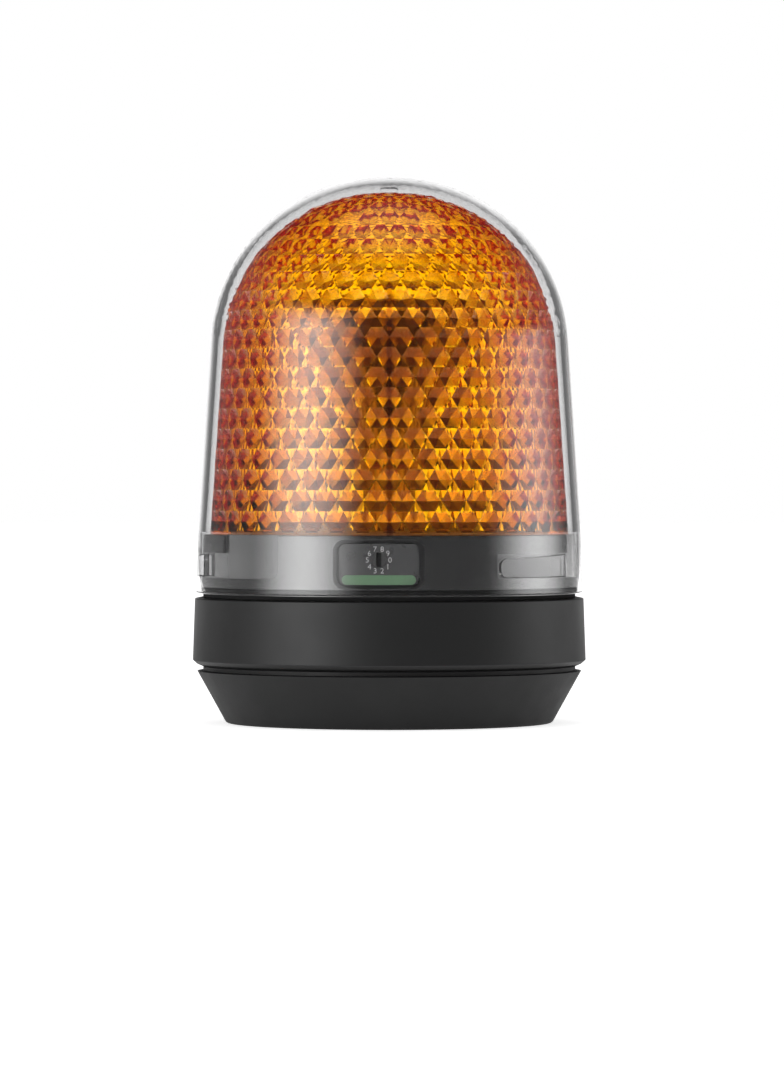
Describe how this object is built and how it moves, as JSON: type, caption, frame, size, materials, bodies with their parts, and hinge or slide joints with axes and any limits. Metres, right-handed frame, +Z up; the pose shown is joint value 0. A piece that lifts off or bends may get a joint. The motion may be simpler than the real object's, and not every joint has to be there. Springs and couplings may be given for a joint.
{
  "type": "signal beacon",
  "caption": "Round signal beacon: tapered black base and ring, clear twist-off globe over an amber prismatic lens, and a settings window with a code dial.",
  "frame": {"origin": "middle of the foot, in the plane that the beacon stands on", "axes": "+Z up the beacon's axis, -Y towards the settings window, +X to the right of that window"},
  "size_m": [0.1042, 0.1042, 0.1443],
  "materials": {
    "black_plastic": "fine moulded grain",
    "housing_plastic": "smooth moulded",
    "clear_polycarbonate": "clear, polished",
    "amber_polycarbonate": "amber tint, polished prisms",
    "seal_rubber": "smooth",
    "gasket_rubber": "smooth",
    "plate_plastic": "smooth",
    "label_green": "printed strip",
    "dial_plastic": "smooth",
    "switch_plastic": "moulded",
    "circuit_board": "solder resist",
    "lamp_board": "cream solder resist",
    "lamp_package": "moulded",
    "lamp_lens": "clear silicone over phosphor",
    "terminal_plastic": "moulded",
    "reflector_plastic": "metallised, warm tone",
    "insert_brass": "knurled, turned",
    "screw_steel": "zinc plated",
    "spreader_aluminium": "milled",
    "can_aluminium": "sleeved can"
  },
  "bodies": {
    "body": {"mounting_base": "black_plastic", "body_seal": "seal_rubber", "base_gasket": "gasket_rubber", "mounting_inserts": "insert_brass", "base_screws": "screw_steel", "cable_grommet": "gasket_rubber", "body_housing": "housing_plastic", "globe_seal": "seal_rubber", "amber_lens": "amber_polycarbonate", "settings_plate": "plate_plastic", "settings_label": "label_green", "switch_body": "switch_plastic", "switch_board": "circuit_board", "main_board": "circuit_board", "board_standoffs": "insert_brass", "heat_spreader": "spreader_aluminium", "led_board": "lamp_board", "board_screws": "screw_steel", "led_packages": "lamp_package", "led_domes": "lamp_lens", "terminal_block": "terminal_plastic", "terminal_screws": "screw_steel", "capacitors": "can_aluminium", "inductor": "switch_plastic", "control_chip": "switch_plastic", "board_header": "switch_plastic", "header_pin_rows": "insert_brass", "reflector": "reflector_plastic", "reflector_cap": "reflector_plastic", "reflector_screw": "screw_steel"},
    "globe": {"clear_globe": "clear_polycarbonate"},
    "dial": {"settings_dial": "dial_plastic"}
  },
  "joints": [
    {"name": "globe_twist", "type": "hinge", "parent": "body", "child": "globe", "pos_m": [0, 0, 0], "axis": [0, 0, 1], "range_deg": [0, 34]},
    {"name": "dial_turn", "type": "hinge", "parent": "body", "child": "dial", "pos_m": [0, -0.045, 0.0438], "axis": [0, -1, 0], "continuous": true}
  ]
}
